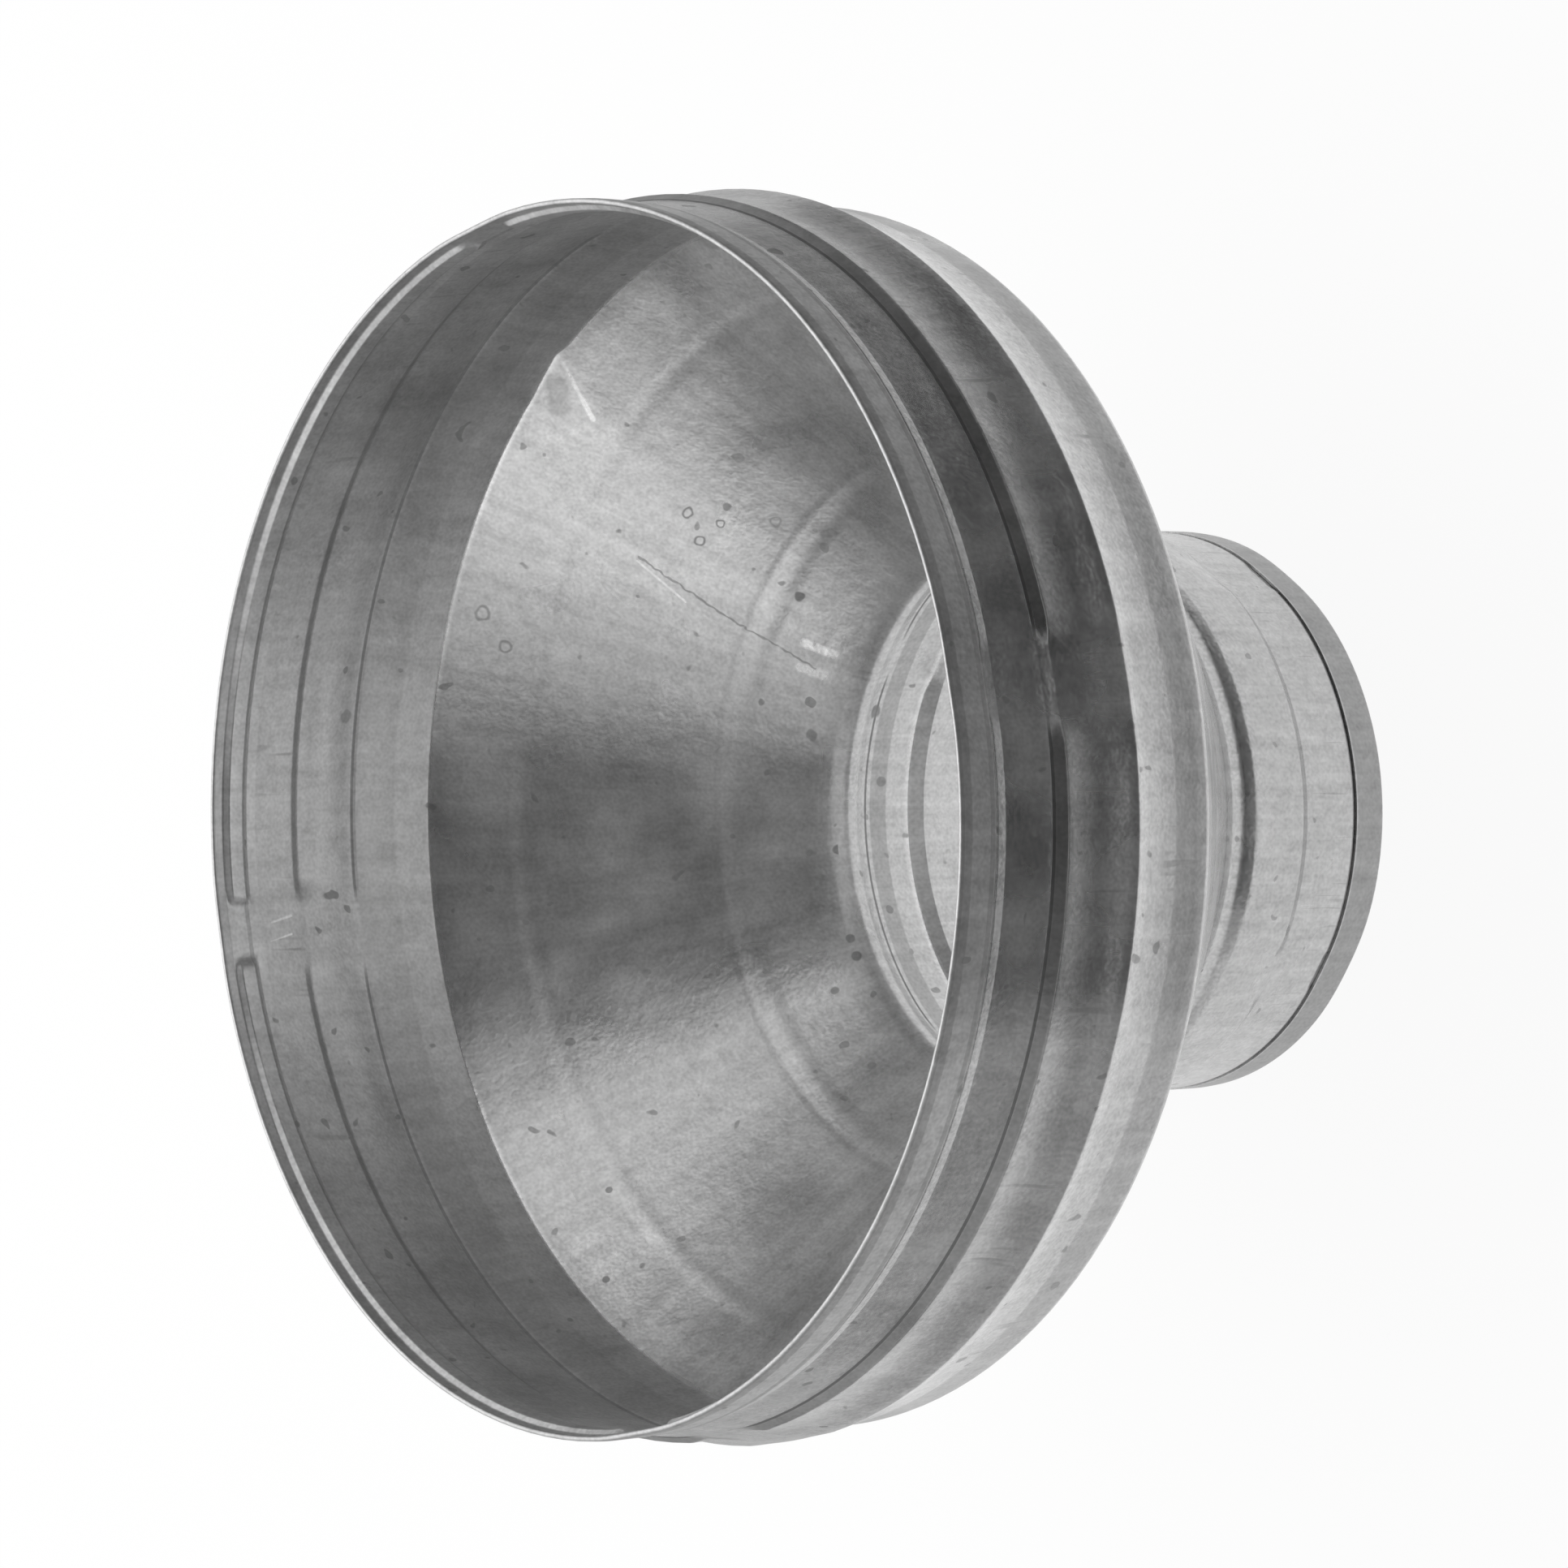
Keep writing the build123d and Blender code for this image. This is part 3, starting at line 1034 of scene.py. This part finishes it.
CLASSES = (SheetSizes, SheetFinish, StageSettings, REDUCER_OT_sheet, REDUCER_OT_stage, REDUCER_PT_panel)


def register():
    """Register the classes and give the scene its settings."""
    for cls in CLASSES:
        bpy.utils.register_class(cls)
    bpy.types.Scene.reducer_sizes = bpy.props.PointerProperty(type=SheetSizes)
    bpy.types.Scene.reducer_finish = bpy.props.PointerProperty(type=SheetFinish)
    bpy.types.Scene.reducer_stage = bpy.props.PointerProperty(type=StageSettings)


def unregister():
    """Undo register."""
    del bpy.types.Scene.reducer_stage
    del bpy.types.Scene.reducer_finish
    del bpy.types.Scene.reducer_sizes
    for cls in reversed(CLASSES):
        bpy.utils.unregister_class(cls)


def main():
    """Make the sheet and the stage."""
    register()
    bpy.ops.reducer.sheet()
    bpy.ops.reducer.stage()


if __name__ == "__main__":
    main()
